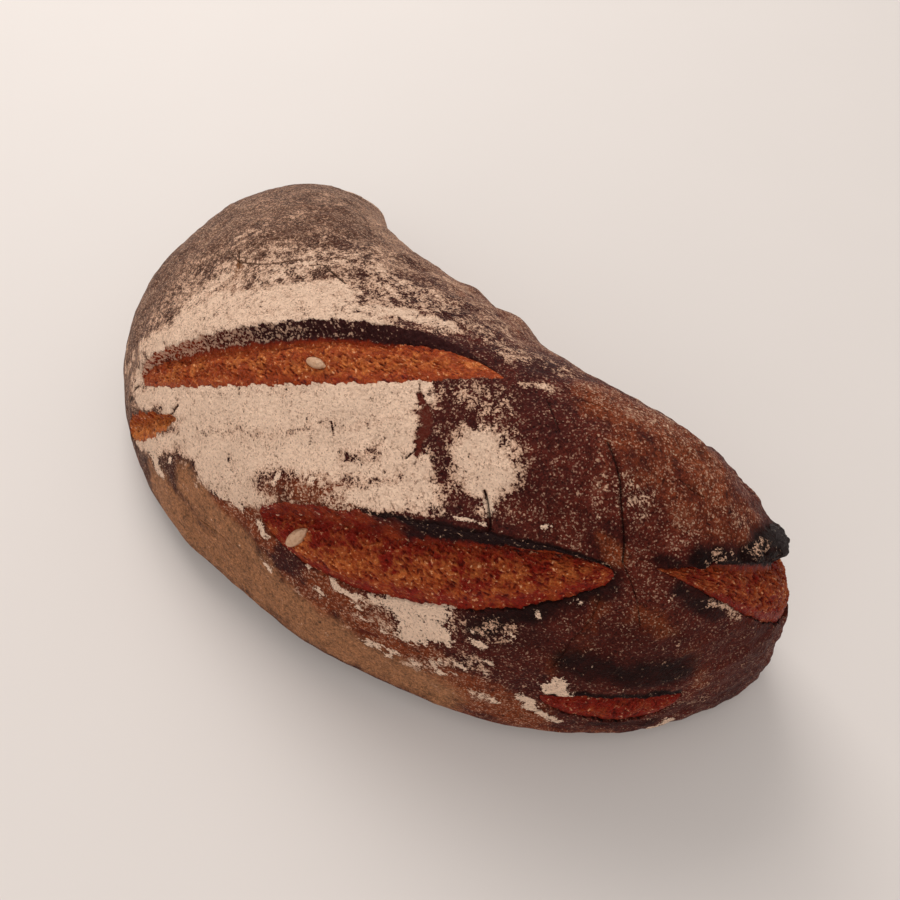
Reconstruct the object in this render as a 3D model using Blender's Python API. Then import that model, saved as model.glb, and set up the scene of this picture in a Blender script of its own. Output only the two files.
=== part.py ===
"""Rye bread loaf, baked free on a stone.

A bean-shaped loaf lies on its flat base, its long way near X and its hollow
back towards +Y. The body is a ball of square faces bent along an arc. Each
slash has a steep burnt wall under a raised ear, and a floor of bare crumb
that swells back up to the near rim. Two seed kernels sit in the crumb.
Metres, +Z up. The origin is under the middle of the loaf's box, on its base.
"""
import bpy
import bmesh
import numpy as np
from math import pi, radians
from mathutils import Vector, noise

MM = 0.001

# The arc that the loaf's middle line follows, hollow side at +Y
BEND_RADIUS = 137 * MM
BEND_HALF_ANGLE = radians(57.2)

# Widths in front of and behind the middle line, at even stations from the far
# end, -1, to the near end, 1. The round ends close the two outer ones.
STATIONS = (-1.0, -0.5, 0.0, 0.5, 1.0)
FRONT_WIDTHS = (18 * MM, 74.5 * MM, 64 * MM, 49.5 * MM, 30.5 * MM)
BACK_WIDTHS = (48 * MM, 42.5 * MM, 57 * MM, 45 * MM, 59 * MM)

# Height over the base, which grows towards the near end
HEIGHT = 87.5 * MM
HEIGHT_SLOPE = 0.27
HEIGHT_CURVE = -0.06

# How full the ends and the cross-sections are: 2 is round, more is squarer
END_FULLNESS = 2.95
END_FULLNESS_SLOPE = 0.40
END_HEIGHT_FULLNESS = 3.7
FRONT_FULLNESS = 1.72
BACK_FULLNESS = 2.15
END_ROUNDING = 0.40      # added to the sections' fullness at both ends
END_EVENNESS = 6         # how near the ends the front and back widths become one

# The widest line of the flank, and how far the round underside would dip
WAIST_HEIGHT = 10 * MM
WAIST_AT_ENDS = 0.3      # share of that height that is left at the ends
WAIST_LIMIT = 0.45       # its greatest share of the loaf's height
UNDERSIDE_DIP = 0.57

# Hand-shaped unevenness of the crust: size of a swelling and its height
RELIEF = ((34 * MM, 1.3 * MM), (13 * MM, 0.55 * MM))
RELIEF_FADE = 12 * MM

# Torn knobs and a pinched corner on the back, as (station, degrees), radius, height
KNOBS = (((0.103, 48), 7 * MM, 2.2 * MM), ((-0.105, 48), 6 * MM, 1.8 * MM),
         ((-0.80, 42), 9 * MM, 2.0 * MM), ((0.20, 62), 10 * MM, -1.0 * MM))

BALL_FACES = 24          # faces along one side of the ball's six squares
FINE_REACH = 0.16        # turn on the ball round each far rim with faces cut in four
PAST_TIPS = 1.1          # how far along, in half slashes, those faces reach
CLEAR = 14 * MM          # how far a cutter stands out of the crust
STEP = 1e-4              # small turn on the ball that gives a surface's slope
LEAST = 1e-6             # keeps roots and ratios off zero
LEAST_MOUTH = 1e-3       # the narrowest mouth, as a turn, that places are measured in
MERGE = 1e-6
SCRAP = 0.002 * MM       # edges shorter than this are closed up after a Boolean
SHARP_ANGLE = radians(40)

# Slashes, from tip to tip as (station, degrees round the section: 0 back,
# 90 top, 180 front). Bows are the rims' distances from the line between the
# tips, as turns on the ball, and leans shift them towards the second tip.
SLASHES = {
    "long": dict(start=(-0.285, 152.3), end=(0.283, 88.5), far=0.168, far_lean=0.50, far_power=0.33,
                 near=-0.016, near_lean=0.0, near_power=2.00, depth=6.5 * MM, wall=0.17,
                 ear=2.8 * MM, rows=30),
    "middle": dict(start=(0.055, 150), end=(0.580, 127.5), far=0.150, far_lean=0.0, far_power=0.60,
                   near=0.130, near_lean=-0.30, near_power=0.42, depth=7.0 * MM, wall=0.27,
                   ear=3.0 * MM, rows=28),
    "end": dict(start=(0.646, 124.4), end=(0.938, 61), far=0.009, far_lean=-0.55, far_power=0.32,
                near=0.254, near_lean=-0.08, near_power=1.16, depth=6.5 * MM, wall=0.16,
                ear=2.6 * MM, rows=20),
    "low": dict(start=(0.545, 164.5), end=(0.765, 163), far=0.035, far_lean=0.0, far_power=0.60,
                near=0.125, near_lean=0.15, near_power=0.42, depth=4.5 * MM, wall=0.30,
                ear=1.6 * MM, rows=14),
    "tear": dict(start=(-0.280, 171), end=(-0.180, 148), far=0.030, far_lean=-0.30, far_power=0.60,
                 near=0.026, near_lean=-0.30, near_power=0.60, depth=3.2 * MM, wall=0.35,
                 ear=0.0, rows=9),
}
WALL_STEPS = 2           # rows of faces down a slash's wall
FLOOR_STEPS = 6          # rows of faces across its crumb
NEAR_STEP = 0.8 * MM     # the crust's cut edge at the near rim
SWELL = 2.2              # how soon the crumb swells back up from the wall
TIP_POWER = 0.55         # how bluntly the depth fades towards the tips

# Ears, the lifted far rims: the turn on the ball over which one melts into the
# crust, how steeply it does, and how fast it ends over the mouth
EAR_REACH = 0.17
EAR_SLOPE = 3
EAR_EDGE = 2

# The burnt horn of the ear at the near end: its slash, its place along and its
# share across the mouth, its sizes, how much of it lies before that place, how
# it rises, how soon it narrows and how blunt its end stays
HORN_SLASH = "end"
HORN = dict(at=0.18, share=-0.15, length=13 * MM, root=4.6 * MM, sides=8, rings=5,
            before=0.45, rise=radians(25), lift=0.5, narrowing=2.2, blunt=0.02, flatness=0.7)
HORN_STEP = 0.05         # step along the slash that gives the horn's direction

# Seed kernels, as (slash, scale, blunt end, pointed end), each end given by its
# place along the slash and its share of the way across the mouth
KERNEL = (8.6 * MM, 3.9 * MM, 2.6 * MM)
KERNELS = (("long", 0.78, (0.122, 0.597), (0.196, 0.731)),
           ("middle", 1.0, (-0.886, 0.706), (-0.707, 0.336)))
KERNEL_SUNK = 0.38       # share of its thickness below the crumb
KERNEL_TAPER = 0.45      # share of its width that the pointed end loses
KERNEL_SIDES = 6
KERNEL_RINGS = 4

COLOURS = {"crust": (0.115, 0.050, 0.030, 1.0)}
CRUST_ROUGHNESS = 0.85


def blend_stations(x, widths):
    """The smooth curve through the widths at the five stations."""
    total = 0.0
    for i, at in enumerate(STATIONS):
        weight = 1.0
        for j, other in enumerate(STATIONS):
            if i != j:
                weight = weight * (x - other) / (at - other)
        total = total + weight * widths[i]
    return total


def plain_form(way):
    """The smooth loaf without relief: a point for each direction on the ball."""
    x, y, z = way[:, 0], way[:, 1], way[:, 2]
    ring = np.sqrt(np.maximum(1 - x * x, LEAST))
    c, s = y / ring, z / ring
    reach = np.maximum(np.abs(x), LEAST)
    end = np.sqrt(np.maximum(1 - reach ** (END_FULLNESS + END_FULLNESS_SLOPE * x), 0))
    end_height = np.sqrt(np.maximum(1 - reach ** END_HEIGHT_FULLNESS, 0))
    front, back = blend_stations(x, FRONT_WIDTHS), blend_stations(x, BACK_WIDTHS)
    even = reach ** END_EVENNESS
    width = (np.where(c < 0, front, back) * (1 - even) + (front + back) / 2 * even) * end
    height = HEIGHT * (1 + HEIGHT_SLOPE * x + HEIGHT_CURVE * x * x) * end_height
    fullness = FRONT_FULLNESS + (BACK_FULLNESS - FRONT_FULLNESS) * (0.5 + 0.5 * c)
    fullness = fullness + END_ROUNDING * x * x
    waist = WAIST_HEIGHT * (WAIST_AT_ENDS + (1 - WAIST_AT_ENDS) * end_height)
    waist = np.minimum(waist, WAIST_LIMIT * height)
    upper = s >= 0
    power = 2 / fullness
    across = np.sign(c) * np.maximum(np.abs(c), LEAST) ** np.where(upper, power, 1.0) * width
    dome = waist + (height - waist) * np.maximum(np.abs(s), LEAST) ** power
    under = waist - waist * (1 + UNDERSIDE_DIP) * np.abs(s)
    up = np.maximum(np.where(upper, dome, under), 0)
    turn = BEND_HALF_ANGLE * x
    return np.stack([(BEND_RADIUS - across) * np.sin(turn),
                     BEND_RADIUS - (BEND_RADIUS - across) * np.cos(turn), up], -1)


def unit(v):
    return v / np.linalg.norm(v, axis=-1, keepdims=True)


def outward(way, form):
    """The direction straight out of a form at each direction on the ball."""
    helper = np.where(np.abs(way[:, 2:]) < 0.8, [[0.0, 0.0, 1.0]], [[1.0, 0.0, 0.0]])
    east = unit(np.cross(helper, way))
    north = np.cross(way, east)
    along_east = form(unit(way + STEP * east)) - form(unit(way - STEP * east))
    along_north = form(unit(way + STEP * north)) - form(unit(way - STEP * north))
    return unit(np.cross(along_east, along_north))


def direction(station, degrees):
    ring = np.sqrt(1 - station * station)
    turn = radians(degrees)
    return np.array([station, ring * np.cos(turn), ring * np.sin(turn)])


def crust(way):
    """The loaf with its hand-shaped unevenness, knobs and lifted ears."""
    point = plain_form(way)
    lift = np.array([sum(high * noise.noise(Vector(p) / size) for size, high in RELIEF)
                     for p in point])
    for at, radius, high in KNOBS:
        middle = plain_form(direction(*at)[None])
        lift += high * np.exp(-(((point - middle) / radius) ** 2).sum(1))
    for slash in SLASH.values():
        lift += slash.ear_lift(way)
    lift *= np.clip(point[:, 2] / RELIEF_FADE, 0, 1)
    return point + outward(way, plain_form) * lift[:, None]


class Slash:
    """One slash, measured along and across the line between its tips."""

    def __init__(self, start, end, far, far_lean, far_power, near, near_lean, near_power,
                 depth, wall, ear, rows):
        first, last = direction(*start), direction(*end)
        self.middle = unit(first + last)
        side = unit(np.cross(first, last))
        self.side = side if side[1] > 0 else -side
        ahead = np.cross(self.side, self.middle)
        self.ahead = ahead if ahead @ last > 0 else -ahead
        self.half = np.arccos(first @ last) / 2
        self.far_rim = (far, far_lean, far_power)
        self.near_rim = (-near, near_lean, near_power)
        self.depth, self.wall, self.ear, self.rows = depth, wall, ear, rows

    def rim(self, along, bow, lean, power):
        return bow * np.maximum(1 - along * along, 0) ** power * (1 + lean * along)

    def fade(self, along):
        return np.maximum(1 - along * along, 0) ** TIP_POWER

    def ways(self, along, turn):
        """Directions on the ball at places along and turns across."""
        a = along * self.half
        return (np.outer(np.cos(turn) * np.cos(a), self.middle)
                + np.outer(np.cos(turn) * np.sin(a), self.ahead) + np.outer(np.sin(turn), self.side))

    def across(self, along, share):
        """Directions at a share of the way from the far rim to the near rim."""
        far, near = self.rim(along, *self.far_rim), self.rim(along, *self.near_rim)
        return self.ways(along, far + (near - far) * share)

    def measure(self, way):
        """Place along, turn across and share of the mouth's width of directions."""
        along = np.arctan2(way @ self.ahead, way @ self.middle) / self.half
        turn = np.arcsin(np.clip(way @ self.side, -1, 1))
        inside = np.clip(along, -1, 1)
        far, near = self.rim(inside, *self.far_rim), self.rim(inside, *self.near_rim)
        return along, turn - far, (far - turn) / np.maximum(far - near, LEAST_MOUTH)

    def ear_lift(self, way):
        """How far the ear lifts the crust, most at the far rim."""
        along, beyond, share = self.measure(way)
        facing = way @ self.middle > 0
        behind = np.exp(-EAR_SLOPE * (np.maximum(beyond, 0) / EAR_REACH) ** 2)
        mouth = np.clip(EAR_EDGE * (1 - share), 0, 1)
        return np.where(facing, self.ear * self.fade(along) * behind * mouth, 0)

    def sink(self, along, share):
        """How deep the cut lies under the crust."""
        in_wall = np.clip(share / self.wall, 0, 1)
        in_crumb = np.clip((share - self.wall) / (1 - self.wall), 0, 1)
        crumb = NEAR_STEP + (self.depth - NEAR_STEP) * (1 - in_crumb) ** SWELL
        return np.where(share < self.wall, self.depth * in_wall, crumb) * self.fade(along)

    def places(self, count):
        """Places from tip to tip, closer together towards the tips."""
        return np.sin(np.linspace(-pi / 2, pi / 2, count))


SLASH = {name: Slash(**values) for name, values in SLASHES.items()}


def new_object(name, bm):
    mesh = bpy.data.meshes.new(name)
    bm.to_mesh(mesh)
    bm.free()
    ob = bpy.data.objects.new(name, mesh)
    bpy.context.scene.collection.objects.link(ob)
    return ob


def loft(name, rings):
    """A closed solid through rings of points, each ring a closed outline."""
    bm = bmesh.new()
    rows = [[bm.verts.new(p) for p in ring] for ring in rings]
    for row, following in zip(rows, rows[1:]):
        for i in range(len(row)):
            j = (i + 1) % len(row)
            bm.faces.new((row[i], row[j], following[j], following[i]))
    bm.faces.new(rows[0])
    bm.faces.new(rows[-1][::-1])
    bmesh.ops.remove_doubles(bm, verts=bm.verts, dist=MERGE)
    bmesh.ops.dissolve_degenerate(bm, edges=bm.edges, dist=MERGE)
    bmesh.ops.recalc_face_normals(bm, faces=bm.faces)
    return new_object(name, bm)


def near_a_rim(way):
    """Whether each direction lies close to a far rim."""
    close = np.zeros(len(way), bool)
    for slash in SLASH.values():
        along, beyond, share = slash.measure(way)
        facing = way @ slash.middle > 0
        close |= facing & (np.abs(along) < PAST_TIPS) & (np.abs(beyond) < FINE_REACH)
    return close


def body():
    """The uncut loaf: a ball of square faces, each point moved to the crust."""
    bm = bmesh.new()
    lines = np.tan(np.linspace(-pi / 4, pi / 4, BALL_FACES + 1))
    a, b = np.meshgrid(lines, lines, indexing="ij")
    one = np.ones_like(a)
    for sheet in ((one, a, b), (-one, -a, b), (-a, one, b), (a, -one, b), (-b, a, one), (b, a, -one)):
        points = unit(np.stack(sheet, -1).reshape(-1, 3))
        verts = [bm.verts.new(p) for p in points]
        for i in range(BALL_FACES):
            for j in range(BALL_FACES):
                k = i * (BALL_FACES + 1) + j
                bm.faces.new((verts[k], verts[k + BALL_FACES + 1], verts[k + BALL_FACES + 2], verts[k + 1]))
    bmesh.ops.remove_doubles(bm, verts=bm.verts, dist=MERGE)
    middles = unit(np.array([f.calc_center_median() for f in bm.faces]))
    fine = [f for f, close in zip(bm.faces, near_a_rim(middles)) if close]
    bmesh.ops.subdivide_edges(bm, edges=list({e for f in fine for e in f.edges}), cuts=1, use_grid_fill=True)
    ways = unit(np.array([v.co for v in bm.verts]))
    for v, p in zip(bm.verts, crust(ways)):
        v.co = p
    base = [f for f in bm.faces if all(v.co.z < MERGE for v in f.verts)]
    inner = list({e for f in base for e in f.edges if all(g in base for g in e.link_faces)})
    bmesh.ops.dissolve_edges(bm, edges=inner, use_verts=True)
    bmesh.ops.recalc_face_normals(bm, faces=bm.faces)
    return new_object("loaf", bm)


def slash_cutter(name, slash):
    """What a slash takes away: the wall and the crumb below, clear air above."""
    shares = np.concatenate([[0.0], slash.wall * np.arange(1, WALL_STEPS + 1) / WALL_STEPS,
                             slash.wall + (1 - slash.wall) * np.arange(1, FLOOR_STEPS + 1) / FLOOR_STEPS])
    rings = []
    for along in slash.places(slash.rows):
        here = np.full(len(shares), along)
        ways = slash.across(here, shares)
        skin, out = crust(ways), outward(ways, plain_form)
        floor = skin - out * slash.sink(here, shares)[:, None]
        roof = skin + out * CLEAR
        rings.append(list(floor) + [roof[-1], roof[len(shares) // 2], roof[0]])
    return loft(name, rings)


def horn(name, slash, at, share, length, root, sides, rings, before, rise, lift, narrowing, blunt,
         flatness):
    """A blunt burnt hook that sticks out of the ear, along the slash."""
    places = np.array([at, at + HORN_STEP])
    ways = slash.across(places, np.full(2, share))
    skin = crust(ways)
    out = outward(ways, plain_form)[0]
    start = skin[0] - out * root
    ahead = unit(skin[1] - skin[0])
    level = unit(ahead * np.cos(rise) + out * np.sin(rise))
    aside = unit(np.cross(out, level))
    upright = np.cross(level, aside)
    circles = []
    for step in np.linspace(0, 1, rings):
        middle = start + level * length * (step - before) + out * root * lift * step
        size = root * np.sqrt(max(1 - step ** narrowing, blunt))
        circles.append([middle + aside * size * np.cos(t) + upright * size * flatness * np.sin(t)
                        for t in np.linspace(0, 2 * pi, sides, endpoint=False)])
    return loft(name, circles)


def kernel(name, slash, scale, blunt, pointed):
    """A seed kernel, one end pointed, partly sunk in the crumb."""
    ends = np.array([blunt, pointed, np.mean([blunt, pointed], axis=0)])
    ways = slash.across(ends[:, 0], ends[:, 1])
    outs = outward(ways, plain_form)
    floor = crust(ways) - outs * slash.sink(ends[:, 0], ends[:, 1])[:, None]
    place, out = floor[2], outs[2]
    long_way = unit(floor[1] - floor[0])
    out = unit(out - long_way * (out @ long_way))
    short_way = np.cross(out, long_way)
    length, width, thickness = (size * scale for size in KERNEL)
    middle = place + out * thickness * (0.5 - KERNEL_SUNK)
    bm = bmesh.new()
    bmesh.ops.create_uvsphere(bm, u_segments=KERNEL_SIDES, v_segments=KERNEL_RINGS, radius=0.5)
    for v in bm.verts:
        x, y, z = v.co.z, v.co.x, v.co.y
        taper = 1 - KERNEL_TAPER * max(0.0, x * 2) ** 2
        v.co = middle + long_way * x * length + short_way * y * width * taper + out * z * thickness
    bmesh.ops.recalc_face_normals(bm, faces=bm.faces)
    return new_object(name, bm)


def join(target, pieces, operation):
    """One Boolean of a whole collection with the target, then the pieces go."""
    group = bpy.data.collections.new("pieces")
    for piece in pieces:
        group.objects.link(piece)
    boolean = target.modifiers.new("pieces", 'BOOLEAN')
    boolean.operation = operation
    boolean.operand_type = 'COLLECTION'
    boolean.collection = group
    boolean.solver = 'EXACT'
    bpy.context.view_layer.update()
    result = bpy.data.meshes.new_from_object(target.evaluated_get(bpy.context.evaluated_depsgraph_get()))
    target.modifiers.clear()
    target.data = result
    bm = bmesh.new()
    bm.from_mesh(result)
    bmesh.ops.triangulate(bm, faces=bm.faces)
    bmesh.ops.remove_doubles(bm, verts=bm.verts, dist=SCRAP)
    bmesh.ops.dissolve_degenerate(bm, edges=bm.edges, dist=SCRAP)
    bm.to_mesh(result)
    bm.free()
    for piece in pieces:
        bpy.data.objects.remove(piece)
    bpy.data.collections.remove(group)


def centre(ob):
    """Puts the origin under the middle of the loaf's box, on its base."""
    points = np.array([v.co for v in ob.data.vertices])
    low, high = points.min(0), points.max(0)
    middle = Vector(((low[0] + high[0]) / 2, (low[1] + high[1]) / 2, low[2]))
    for v in ob.data.vertices:
        v.co = v.co - middle


def crust_material():
    material = bpy.data.materials.new("crust")
    material.use_nodes = True
    shader = material.node_tree.nodes["Principled BSDF"]
    shader.inputs["Base Color"].default_value = COLOURS["crust"]
    shader.inputs["Roughness"].default_value = CRUST_ROUGHNESS
    return material


def main():
    for ob in list(bpy.data.objects):
        bpy.data.objects.remove(ob)
    loaf = body()
    join(loaf, [slash_cutter("cut_" + name, slash) for name, slash in SLASH.items()], 'DIFFERENCE')
    grown = [horn("horn", SLASH[HORN_SLASH], **HORN)]
    grown += [kernel("kernel", SLASH[name], *place) for name, *place in KERNELS]
    join(loaf, grown, 'UNION')
    centre(loaf)
    loaf.data.materials.clear()
    loaf.data.materials.append(crust_material())
    loaf.data.shade_smooth()
    loaf.data.set_sharp_from_angle(angle=SHARP_ANGLE)


main()
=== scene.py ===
"""Looks of the rye bread loaf.

The crust is a ball of square faces moved to the loaf's own form, with its
hand-shaped lumps, hairline cracks and flour. Each slash is filled by a piece
of torn crumb with a burnt wall. A burnt tip and two seed kernels lie on them.
Metres, +Z up, in the frame of the solids.
"""
import bpy
import numpy as np
from math import pi, radians
from mathutils import Matrix, Vector, noise


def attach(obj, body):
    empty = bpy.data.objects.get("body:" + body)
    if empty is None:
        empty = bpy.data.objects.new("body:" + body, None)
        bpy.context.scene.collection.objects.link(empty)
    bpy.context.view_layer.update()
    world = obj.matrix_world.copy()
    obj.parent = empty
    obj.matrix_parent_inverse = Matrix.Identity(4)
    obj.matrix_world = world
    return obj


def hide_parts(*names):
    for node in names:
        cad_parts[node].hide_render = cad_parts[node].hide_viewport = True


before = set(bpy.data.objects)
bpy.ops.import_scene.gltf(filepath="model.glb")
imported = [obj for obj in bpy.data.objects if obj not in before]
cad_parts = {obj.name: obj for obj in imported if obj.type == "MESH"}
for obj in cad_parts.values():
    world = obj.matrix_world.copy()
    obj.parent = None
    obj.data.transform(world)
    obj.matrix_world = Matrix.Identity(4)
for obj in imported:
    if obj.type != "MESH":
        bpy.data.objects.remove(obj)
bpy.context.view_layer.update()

MM = 0.001

# The form, with the same named sizes as the solid's
BEND_RADIUS = 137 * MM
BEND_HALF_ANGLE = radians(57.2)
STATIONS = (-1.0, -0.5, 0.0, 0.5, 1.0)
FRONT_WIDTHS = (18 * MM, 74.5 * MM, 64 * MM, 49.5 * MM, 30.5 * MM)
BACK_WIDTHS = (48 * MM, 42.5 * MM, 57 * MM, 45 * MM, 59 * MM)
HEIGHT = 87.5 * MM
HEIGHT_SLOPE = 0.27
HEIGHT_CURVE = -0.06
END_FULLNESS = 2.95
END_FULLNESS_SLOPE = 0.40
END_HEIGHT_FULLNESS = 3.7
FRONT_FULLNESS = 1.72
BACK_FULLNESS = 2.15
END_ROUNDING = 0.40
END_EVENNESS = 6
WAIST_HEIGHT = 10 * MM
WAIST_AT_ENDS = 0.3
WAIST_LIMIT = 0.45
UNDERSIDE_DIP = 0.57
RELIEF = ((34 * MM, 1.3 * MM), (13 * MM, 0.55 * MM))
RELIEF_FADE = 12 * MM
KNOBS = (((0.103, 48), 7 * MM, 2.2 * MM), ((-0.105, 48), 6 * MM, 1.8 * MM),
         ((-0.80, 42), 9 * MM, 2.0 * MM), ((0.20, 62), 10 * MM, -1.0 * MM))
SLASHES = {
    "long": dict(start=(-0.285, 152.3), end=(0.283, 88.5), far=0.168, far_lean=0.50, far_power=0.33,
                 near=-0.016, near_lean=0.0, near_power=2.00, depth=6.5 * MM, wall=0.17, ear=2.8 * MM),
    "middle": dict(start=(0.055, 150), end=(0.580, 127.5), far=0.150, far_lean=0.0, far_power=0.60,
                   near=0.130, near_lean=-0.30, near_power=0.42, depth=7.0 * MM, wall=0.27,
                   ear=3.0 * MM),
    "end": dict(start=(0.646, 124.4), end=(0.938, 61), far=0.009, far_lean=-0.55, far_power=0.32,
                near=0.254, near_lean=-0.08, near_power=1.16, depth=6.5 * MM, wall=0.16, ear=2.6 * MM),
    "low": dict(start=(0.545, 164.5), end=(0.765, 163), far=0.035, far_lean=0.0, far_power=0.60,
                near=0.125, near_lean=0.15, near_power=0.42, depth=4.5 * MM, wall=0.30, ear=1.6 * MM),
    "tear": dict(start=(-0.280, 171), end=(-0.180, 148), far=0.030, far_lean=-0.30, far_power=0.60,
                 near=0.026, near_lean=-0.30, near_power=0.60, depth=3.2 * MM, wall=0.35, ear=0.0),
}
NEAR_STEP = 0.8 * MM
SWELL = 2.2
TIP_POWER = 0.55
EAR_REACH = 0.17
EAR_SLOPE = 3
EAR_EDGE = 2
HORN_SLASH = "end"
HORN = dict(at=0.18, share=-0.15, length=13 * MM, root=4.6 * MM, before=0.45, rise=radians(25), lift=0.5)
HORN_STEP = 0.05
KERNEL = (8.6 * MM, 3.9 * MM, 2.6 * MM)
KERNELS = (("long", 0.78, (0.122, 0.597), (0.196, 0.731)),
           ("middle", 1.0, (-0.886, 0.706), (-0.707, 0.336)))
KERNEL_SUNK = 0.38
KERNEL_TAPER = 0.45
STEP = 1e-4              # small turn on the ball that gives a surface's slope
LEAST = 1e-9             # keeps roots and ratios off zero
LEAST_MOUTH = 1e-3       # the narrowest mouth, as a turn, that places are measured in
MERGE = 1e-6
MIDDLE = np.array((0.689 * MM, 0.148 * MM, 0.0))   # the origin, in the form's own frame

# The crust is finer than the solid's: a ball of squares, cut again in bands
# beside rims and cracks, whose nearest points are then snapped onto them. Sizes
# beside rims are turns on the ball.
BALL_CUTS = 10
RIM_CUTS = 2
CRACK_CUTS = 3
BALL_SQUARE = pi / 2 / (BALL_CUTS + 1) ** 2
RIM_BAND = 1.3 * BALL_SQUARE
RIM_SNAP = 0.5 * BALL_SQUARE / (RIM_CUTS + 1)
CRACK_BAND = 1.1 * MM
CRACK_SNAP = 0.13 * MM
FINE_RELIEF = ((6.0 * MM, 0.45 * MM), (2.6 * MM, 0.22 * MM), (1.3 * MM, 0.10 * MM))
ROUGH_END = (0.45, 0.9)  # the stations over which the near end grows rougher
ROUGHER = 1.3
FLOUR_THICKNESS = 0.15 * MM
FLAKE_THICKNESS = 1.4    # a flake's, as a multiple of the flour's
UNDER_CRUMB = 2.4 * MM   # how far the crust's hollow lies below the crumb in it

# How far the rims wander, as a turn on the ball, how often, and the waves that
# they do it in, each with its share, its pace and its start
RAGGED = 0.0075
RAGGED_WAVES = 60
FAR_WAVES = ((0.45, 1.3, 1), (0.3, 3.1, 2), (0.25, 7.3, 0))
NEAR_WAVES = ((0.4, 1.1, 4), (0.35, 2.7, 0), (0.25, 6.1, 3))


def unit(v):
    return v / np.linalg.norm(v, axis=-1, keepdims=True)


def smooth(low, high, x):
    """0 below low, 1 above high, and a smooth way up between them."""
    t = np.clip((x - low) / (high - low), 0, 1)
    return t * t * (3 - 2 * t)


def blend_stations(x, widths):
    """The smooth curve through the widths at the five stations."""
    total = 0.0
    for i, at in enumerate(STATIONS):
        weight = 1.0
        for j, other in enumerate(STATIONS):
            if i != j:
                weight = weight * (x - other) / (at - other)
        total = total + weight * widths[i]
    return total


def plain_form(way):
    """The smooth loaf without relief: a point for each direction on the ball."""
    x, y, z = way[:, 0], way[:, 1], way[:, 2]
    ring = np.sqrt(np.maximum(1 - x * x, LEAST))
    c, s = y / ring, z / ring
    reach = np.maximum(np.abs(x), LEAST)
    end = np.sqrt(np.maximum(1 - reach ** (END_FULLNESS + END_FULLNESS_SLOPE * x), 0))
    end_height = np.sqrt(np.maximum(1 - reach ** END_HEIGHT_FULLNESS, 0))
    front, back = blend_stations(x, FRONT_WIDTHS), blend_stations(x, BACK_WIDTHS)
    even = reach ** END_EVENNESS
    width = (np.where(c < 0, front, back) * (1 - even) + (front + back) / 2 * even) * end
    height = HEIGHT * (1 + HEIGHT_SLOPE * x + HEIGHT_CURVE * x * x) * end_height
    fullness = FRONT_FULLNESS + (BACK_FULLNESS - FRONT_FULLNESS) * (0.5 + 0.5 * c)
    fullness = fullness + END_ROUNDING * x * x
    waist = WAIST_HEIGHT * (WAIST_AT_ENDS + (1 - WAIST_AT_ENDS) * end_height)
    waist = np.minimum(waist, WAIST_LIMIT * height)
    upper = s >= 0
    power = 2 / fullness
    across = np.sign(c) * np.maximum(np.abs(c), LEAST) ** np.where(upper, power, 1.0) * width
    dome = waist + (height - waist) * np.maximum(np.abs(s), LEAST) ** power
    under = waist - waist * (1 + UNDERSIDE_DIP) * np.abs(s)
    up = np.maximum(np.where(upper, dome, under), 0)
    turn = BEND_HALF_ANGLE * x
    return np.stack([(BEND_RADIUS - across) * np.sin(turn),
                     BEND_RADIUS - (BEND_RADIUS - across) * np.cos(turn), up], -1) - MIDDLE


def outward(way):
    """The direction straight out of the smooth loaf at each direction on the ball."""
    helper = np.where(np.abs(way[:, 2:]) < 0.8, [[0.0, 0.0, 1.0]], [[1.0, 0.0, 0.0]])
    east = unit(np.cross(helper, way))
    north = np.cross(way, east)
    along_east = plain_form(unit(way + STEP * east)) - plain_form(unit(way - STEP * east))
    along_north = plain_form(unit(way + STEP * north)) - plain_form(unit(way - STEP * north))
    return unit(np.cross(along_east, along_north))


def direction(station, degrees):
    ring = np.sqrt(1 - station * station)
    turn = radians(degrees)
    return np.array([station, ring * np.cos(turn), ring * np.sin(turn)])


def lumps(points, layers):
    """The height of an uneven surface at each point, from layers of (size, height)."""
    return np.array([sum(high * noise.noise(Vector(p) / size) for size, high in layers)
                     for p in points])


def waves(turn, parts):
    """A sum of waves, each with its share, its pace and its start."""
    return sum(share * np.sin(pace * turn + start) for share, pace, start in parts)


def crust(way):
    """The loaf with its hand-shaped unevenness, knobs and lifted ears."""
    point = plain_form(way)
    lift = lumps(point + MIDDLE, RELIEF)
    for at, radius, high in KNOBS:
        middle = plain_form(direction(*at)[None])
        lift += high * np.exp(-(((point - middle) / radius) ** 2).sum(1))
    for slash in SLASH.values():
        lift += slash.ear_lift(way)
    lift *= np.clip(point[:, 2] / RELIEF_FADE, 0, 1)
    return point + outward(way) * lift[:, None]


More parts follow.
